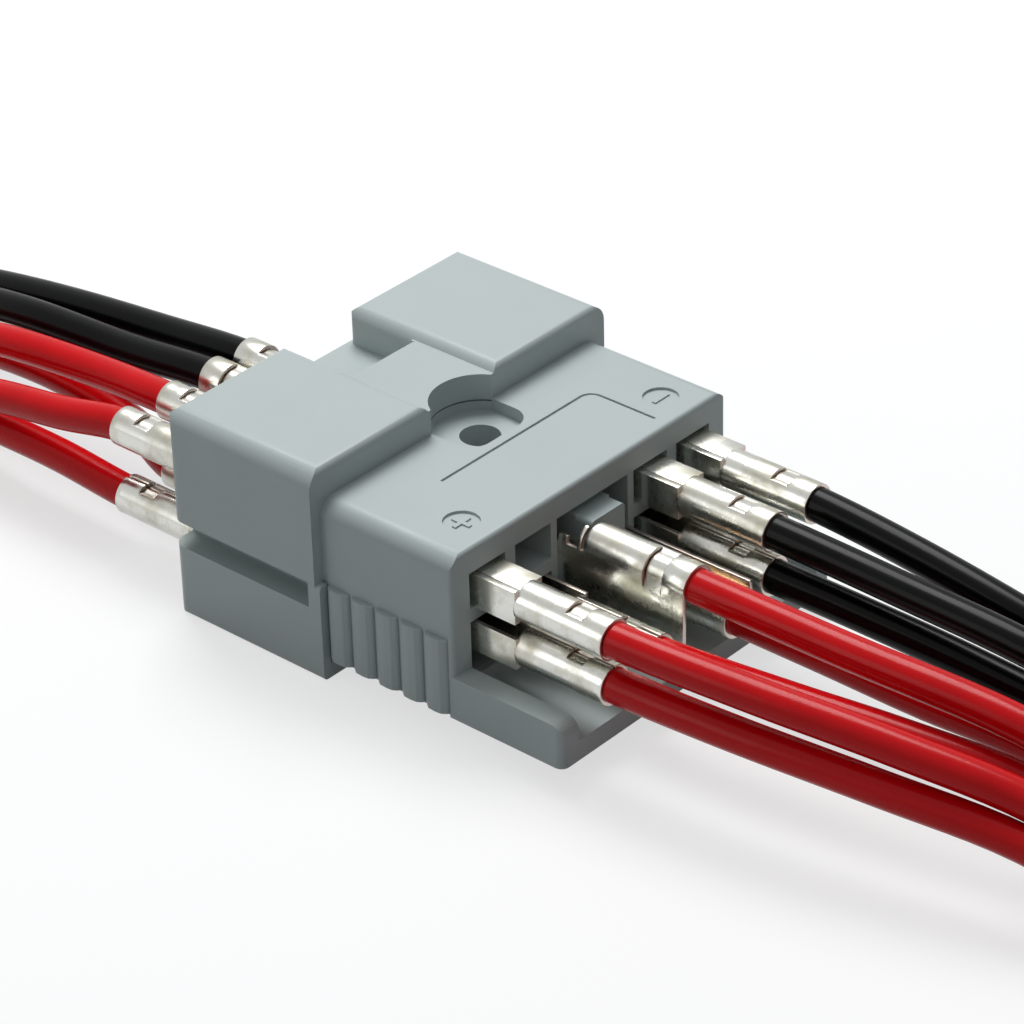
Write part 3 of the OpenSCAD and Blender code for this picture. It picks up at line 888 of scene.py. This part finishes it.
@dataclass
class SmallContact(Contact):
    """Folded-box contact with its blade, box and crimp barrel."""

    blade_z: float = 0.0
    turn: Turn = Turn.WINDOW_UP
    box: tuple[float, float] = (6.0, 5.4)
    box_front: float = 8.0
    box_taper: float = 5.0
    overlap: float = 0.15
    # The top wall's raised lap: its height, and where its lower and upper layers end
    lap: tuple[float, float, float] = (0.12, 1.1, 1.32)
    # How far the two side walls of an open box stay below its full height
    open_rims: tuple[float, float] = (0.3, 0.1)
    blade_tip: float = -11.5
    blade_w: float = 5.0
    blade_ramp: float = 3.0
    blade_bite: float = 0.1
    step: float = 33.0
    barrel_r: float = 3.2
    rings_before: tuple[float, ...] = (33.5, 36.0, 39.0)
    rings_after: tuple[float, ...] = (46.4, 48.1)
    bundle_r: float = 2.35
    window: Window = field(default_factory=Window)

    def fold_box(self, bm: bmesh.types.BMesh) -> None:
        """Adds the folded box that fills the cavity.

        Args:
            bm: The mesh in millimetres.
        """
        wide, high = self.box[0] / 2.0, self.box[1] / 2.0
        x = self.box_front
        if self.turn is Turn.WINDOW_UP:
            rise, lower_end, upper_end = self.lap
            line = [(x, lower_end - wide, high + rise), (x, -wide, high + rise), (x, -wide, -high),
                    (x, wide, -high), (x, wide, high), (x, upper_end - wide, high)]
        else:
            near_rim, far_rim = self.open_rims
            line = [(x, -wide, high - near_rim), (x, -wide, -high), (x, wide, -high),
                    (x, wide, high - far_rim)]
        own = bmesh.new()
        steps = [x, self.step - self.box_taper, self.step + self.overlap]
        pull_along(own, chain(own, line), steps)
        self.face_out(own)
        self.merge(own, bm)

    def bend_blade(self, bm: bmesh.types.BMesh) -> None:
        """Adds the blade that passes its mate, with its short ramp into the box.

        Args:
            bm: The mesh in millimetres.
        """
        low = max(self.blade_z - self.axis[1], -self.box[1] / 2.0) + self.sheet
        top = self.blade_z - self.axis[1] + self.sheet
        own = bmesh.new()
        side = -self.blade_w / 2.0
        line = chain(own, [(self.blade_tip, side, top),
                           (self.box_front - self.blade_ramp, side, top),
                           (self.box_front + self.blade_bite, side, low)])
        made = bmesh.ops.extrude_edge_only(own, edges=line)["geom"]
        verts = pick(made, bmesh.types.BMVert)
        bmesh.ops.translate(own, verts=verts, vec=(0.0, self.blade_w, 0.0))
        own.normal_update()
        bmesh.ops.reverse_faces(own, faces=[f for f in own.faces if f.normal.z < 0.0])
        self.merge(own, bm)

    def build(self, palette: Palette) -> None:
        """Makes the contact and its conductor.

        Args:
            palette: The connector's materials.
        """
        bm = bmesh.new()
        rings = [self.step, *self.rings_before, *self.window.steps(), *self.rings_after,
                 self.barrel_end]
        self.barrel(bm, self.barrel_r, self.turn, rings)
        self.window.press(bm)
        self.fold_box(bm)
        self.bend_blade(bm)
        self.dress_sheet(bm, palette)
        self.conductor(self.bundle_r, self.step + self.wire_setback, palette)


@dataclass
class PowerContact(Contact):
    """Standing plate with a barrel rolled over its upper edge."""

    drop: float = 12.2
    upside_down: bool = False
    near: bool = True
    tip: float = -11.5
    # Heights of the plate's rings, as shares of its drop below the barrel's axis
    shares: tuple[float, ...] = (0.5, 0.25, 0.12, 0.0)
    foot: float = 0.3
    roll_start: float = 30.4
    roll_deg: float = 262.0
    roll_steps: int = 34
    barrel_r: float = 3.3
    # The hook and the tab in front of the roll: where each begins and ends, and its last angle
    hook: tuple[float, float, float] = (1.3, 0.6, 112.0)
    tab: tuple[float, float, float] = (4.8, 3.2, 160.0)
    plate_ring: float = 12.0
    rings_before: tuple[float, ...] = (34.0, 38.0)
    rings_after: tuple[float, ...] = (47.0,)
    bundle_r: float = 2.4
    bundle_inset: float = 1.2
    window: Window = field(default_factory=lambda: Window(41.4, 44.9, 0.2, 0.6, 131.0, 70.0))

    def trim(self, bm: bmesh.types.BMesh) -> None:
        """Removes the roll in front of its start, apart from the tab and the hook.

        Args:
            bm: The mesh in millimetres.
        """
        cut = []
        for face in bm.faces:
            mid = face.calc_center_median()
            if mid.x > self.roll_start or mid.z < 0.0:
                continue
            angle = math.degrees(math.atan2(mid.z, mid.y))
            ahead = self.roll_start - mid.x
            kept = any(end < ahead < begin and angle > least
                       for begin, end, least in (self.hook, self.tab))
            if not kept:
                cut.append(face)
        bmesh.ops.delete(bm, geom=cut, context="FACES")

    def build(self, palette: Palette) -> None:
        """Makes the contact and its conductor.

        Args:
            palette: The connector's materials.
        """
        bm = bmesh.new()
        r, start = self.barrel_r, self.roll_start
        heights = [-self.drop, self.foot - self.drop,
                   *(-share * self.drop for share in self.shares)]
        chain(bm, [(self.tip, -r, z) for z in heights])
        bm.verts.ensure_lookup_table()
        bmesh.ops.spin(bm, geom=[bm.verts[-1]], cent=(self.tip, 0, 0), axis=(-1, 0, 0),
                       dvec=(0, 0, 0), angle=math.radians(self.roll_deg), steps=self.roll_steps,
                       use_duplicate=False)
        cuts = [start - ahead for ahead in (*self.tab[:2], *self.hook[:2])]
        pull_along(bm, bm.edges[:], [
            self.tip, self.plate_ring, *cuts, start, start + 0.5, *self.rings_before,
            *self.window.steps(), *self.rings_after, self.barrel_end])
        self.trim(bm)
        self.window.press(bm)
        self.face_out(bm)
        if self.upside_down:
            self.flip(bm, (1.0, 1.0, -1.0))
        if not self.near:
            self.flip(bm, (1.0, -1.0, 1.0))
        self.dress_sheet(bm, palette)
        self.conductor(self.bundle_r, start + self.bundle_inset, palette)


def small_contacts() -> list[SmallContact]:
    """Lists the folded-box contacts of both halves.

    Returns:
        One entry for each contact.
    """
    inner, outer = 13.25, 23.2
    upper, lower = 0, 1
    rows = [
        ("contact_a_outer_upper", Half.FIXED, -outer, upper),
        ("contact_a_outer_lower", Half.FIXED, -outer, lower),
        ("contact_a_inner_lower", Half.FIXED, -inner, lower),
        ("contact_b_inner_upper", Half.FIXED, inner, upper),
        ("contact_b_inner_lower", Half.FIXED, inner, lower),
        ("contact_b_outer_upper", Half.FIXED, outer, upper),
        ("contact_c_outer_upper", Half.MOVING, -outer, upper),
        ("contact_c_outer_lower", Half.MOVING, -outer, lower),
        ("contact_c_inner_upper", Half.MOVING, -inner, upper),
        ("contact_c_inner_lower", Half.MOVING, -inner, lower),
    ]
    axis_z = {Half.FIXED: (22.5, 14.9), Half.MOVING: (20.8, 8.6)}
    blade_z = {Half.FIXED: (21.7, 11.25), Half.MOVING: (20.8, 10.35)}
    fronts = {Half.FIXED: (8.0, -11.5), Half.MOVING: (18.0, -6.0)}
    made = []
    for name, half, column, row in rows:
        box_front, blade_tip = fronts[half]
        made.append(SmallContact(
            name, half, (column, axis_z[half][row]), blade_z=blade_z[half][row],
            turn=Turn.WINDOW_UP if row == upper else Turn.SEAM_UP,
            box_front=box_front, blade_tip=blade_tip))
    return made


def power_contacts() -> list[PowerContact]:
    """Lists the power contacts of both halves.

    Returns:
        One entry for each contact.
    """
    moving = {"drop": 10.8, "tip": -10.0, "roll_start": 31.0}
    return [
        PowerContact("power_contact_fixed_near", Half.FIXED, (-4.7, 22.2)),
        PowerContact("power_contact_fixed_far", Half.FIXED, (4.7, 12.0), drop=5.0,
                     upside_down=True, near=False),
        PowerContact("power_contact_moving_near", Half.MOVING, (-3.8, 20.8), **moving),
        PowerContact("power_contact_moving_far", Half.MOVING, (3.8, 20.8), near=False, **moving),
    ]


# --- Housings ------------------------------------------------------------------------------


@dataclass(frozen=True)
class EdgeCut:
    """Waste outside one rounded edge of a moulding, as a long prism in millimetres."""

    radius: float
    along: int
    corner: Point
    inward: tuple[int, int]
    reach: Span
    depth: float = 0.0
    margin: float = 1.0
    steps: int = 12

    def build(self) -> bpy.types.Object:
        """Makes the prism, with its inner side hollowed to the edge's round.

        Returns:
            The cutter's object.
        """
        r, out = self.radius, -self.margin
        low = self.depth or r
        last = math.acos(1.0 - low / r)
        arc = [last * i / self.steps for i in range(self.steps + 1)]
        outline = [(out, low), (out, out), (r, out),
                   *((r - r * math.sin(t), r - r * math.cos(t)) for t in arc)]
        others = [i for i in range(3) if i != self.along]
        corners = []
        for pair in outline:
            co = Vector(self.corner)
            co[self.along] = self.reach[0]
            for axis, sign, step in zip(others, self.inward, pair):
                co[axis] += sign * step
            corners.append(co * MM)
        way = Vector((0.0, 0.0, 0.0))
        way[self.along] = (self.reach[1] - self.reach[0]) * MM
        bm = bmesh.new()
        extrude_face(bm, corners, way)
        bmesh.ops.recalc_face_normals(bm, faces=bm.faces)
        return to_object(bm, "edge_waste")


@dataclass
class Housing:
    """A moulded housing, taken from its CAD solid with softened edges."""

    node: str
    half: Half
    cuts: list[EdgeCut]
    edge: float = 0.35 * MM
    weld: float = 2e-6
    cut_weld: float = 4e-6
    flat_deg: float = 0.6

    def soften(self, shell: bpy.types.Object) -> None:
        """Takes the wide rounds off the shell and keeps the result as its mesh.

        Args:
            shell: The housing's object.
        """
        tools = [cut.build() for cut in self.cuts]
        for tool in tools:
            mod = shell.modifiers.new("round", "BOOLEAN")
            mod.operation = "DIFFERENCE"
            mod.solver = "EXACT"
            mod.object = tool
        state = bpy.context.evaluated_depsgraph_get()
        rounded = bpy.data.meshes.new_from_object(shell.evaluated_get(state))
        shell.modifiers.clear()
        shell.data = rounded
        for tool in tools:
            bpy.data.objects.remove(tool)

    def build(self, cad: dict[str, bpy.types.Object], palette: Palette) -> None:
        """Makes the dressed housing.

        Args:
            cad: The CAD nodes by name.
            palette: The connector's materials.
        """
        bm = bmesh.new()
        bm.from_mesh(cad[self.node].data)
        bmesh.ops.remove_doubles(bm, verts=bm.verts, dist=self.weld)
        shell = to_object(bm, "moulded_" + self.node)
        self.soften(shell)
        bm = bmesh.new()
        bm.from_mesh(shell.data)
        bmesh.ops.remove_doubles(bm, verts=bm.verts, dist=self.cut_weld)
        bmesh.ops.dissolve_limit(bm, angle_limit=math.radians(self.flat_deg), verts=bm.verts,
                                 edges=bm.edges)
        bm.to_mesh(shell.data)
        bm.free()
        shell.data.materials.clear()
        shell.data.materials.append(palette.housing)
        add_bevel(shell, self.edge, 3, 32.0)
        smooth(shell, 40.0)
        even = shell.modifiers.new("even_normals", "WEIGHTED_NORMAL")
        even.keep_sharp = True
        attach(shell, self.half.body)
        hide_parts(self.node)


def housings() -> list[Housing]:
    """Lists the two housings with their wide rounds.

    Returns:
        The fixed and the moving housing.
    """
    x, y, z = range(3)
    tray_end, tray_side, tray_top = 45.8, 31.0, 11.0
    hood_top, bridge_side, notch_end = 35.3, 6.9, -16.32
    fixed, blocks = [], [EdgeCut(1.2, y, (0.0, 0.0, hood_top), (-1, -1), (-35.0, 35.0))]
    for side in (-1, 1):
        foot = (tray_end, side * tray_side, 0.0)
        fixed.append(EdgeCut(1.4, z, foot, (-1, -side), (0.0, tray_top)))
        brow = (0.0, side * bridge_side, hood_top)
        blocks.append(EdgeCut(2.5, x, brow, (side, -1), (-31.0, notch_end)))
        blocks.append(EdgeCut(2.5, x, brow, (side, -1), (-17.0, 2.0), depth=1.19))
    return [Housing("housing_fixed", Half.FIXED, fixed),
            Housing("housing_moving", Half.MOVING, blocks)]


@dataclass(frozen=True)
class GripRibs:
    """Rounded ribs low on both sides of the fixed housing, in millimetres."""

    count: int = 5
    first: float = 3.18
    pitch: float = 4.76
    half_width: float = 2.2
    out: float = 1.18
    sunk: float = 0.1
    wall: float = 31.0
    low: float = 3.4
    high: float = 16.1
    steps: int = 14
    edge: float = 0.25

    def build(self, palette: Palette) -> None:
        """Makes all ribs as one mesh.

        Args:
            palette: The connector's materials.
        """
        bm = bmesh.new()
        way = Vector((0.0, 0.0, (self.high - self.low) * MM))
        for side in (-1, 1):
            for i in range(self.count):
                middle = self.first + i * self.pitch
                outline = []
                for k in range(self.steps + 1):
                    angle = math.pi * k / self.steps
                    x = middle + self.half_width * math.cos(angle)
                    y = side * (self.wall - self.sunk + self.out * math.sin(angle))
                    outline.append(Vector((x, y, self.low)) * MM)
                extrude_face(bm, outline, way)
        bmesh.ops.recalc_face_normals(bm, faces=bm.faces)
        ribs = to_object(bm, "grip_ribs")
        ribs.data.materials.append(palette.housing)
        add_bevel(ribs, self.edge * MM, 3, 50.0)
        smooth(ribs)
        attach(ribs, Half.FIXED.body)


@dataclass(frozen=True)
class SlotBacks:
    """Walls and floor strips that close the back of the hood's two side slots."""

    wall_size: Point = (28.0, 0.1, 4.4)
    wall_at: Point = (-15.5, 28.55, 14.25)
    strip_size: Point = (12.5, 1.8, 0.05)
    strip_at: Point = (-7.78, 29.4, 12.05)

    def build(self, palette: Palette) -> None:
        """Makes them as one mesh.

        Args:
            palette: The connector's materials.
        """
        bm = bmesh.new()
        boxes = ((self.wall_size, self.wall_at), (self.strip_size, self.strip_at))
        for side in (-1, 1):
            for size, (x, y, z) in boxes:
                grow = Matrix.Diagonal((*(Vector(size) * MM), 1.0))
                place = Matrix.Translation(Vector((x, side * y, z)) * MM)
                bmesh.ops.create_cube(bm, size=1.0, matrix=place @ grow)
        backs = to_object(bm, "slot_backs")
        backs.data.materials.append(palette.housing)
        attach(backs, Half.MOVING.body)


def main() -> None:
    """Builds the studio and the connector in order."""
    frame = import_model()
    palette = Palette()
    studio = Studio()
    studio.place_camera()
    for lead in LEADS:
        lead.build(palette)
        LOG.info("lead %s", lead.name)
    studio.lay_floor()
    studio.light()
    for housing in housings():
        housing.build(frame["nodes"], palette)
        LOG.info("housing %s", housing.node)
    GripRibs().build(palette)
    LOG.info("grip ribs")
    SlotBacks().build(palette)
    LOG.info("slot backs")
    for contact in [*small_contacts(), *power_contacts()]:
        contact.build(palette)
        LOG.info("contact %s", contact.name)


if __name__ == "__main__":
    logging.basicConfig(level=logging.INFO)
    main()
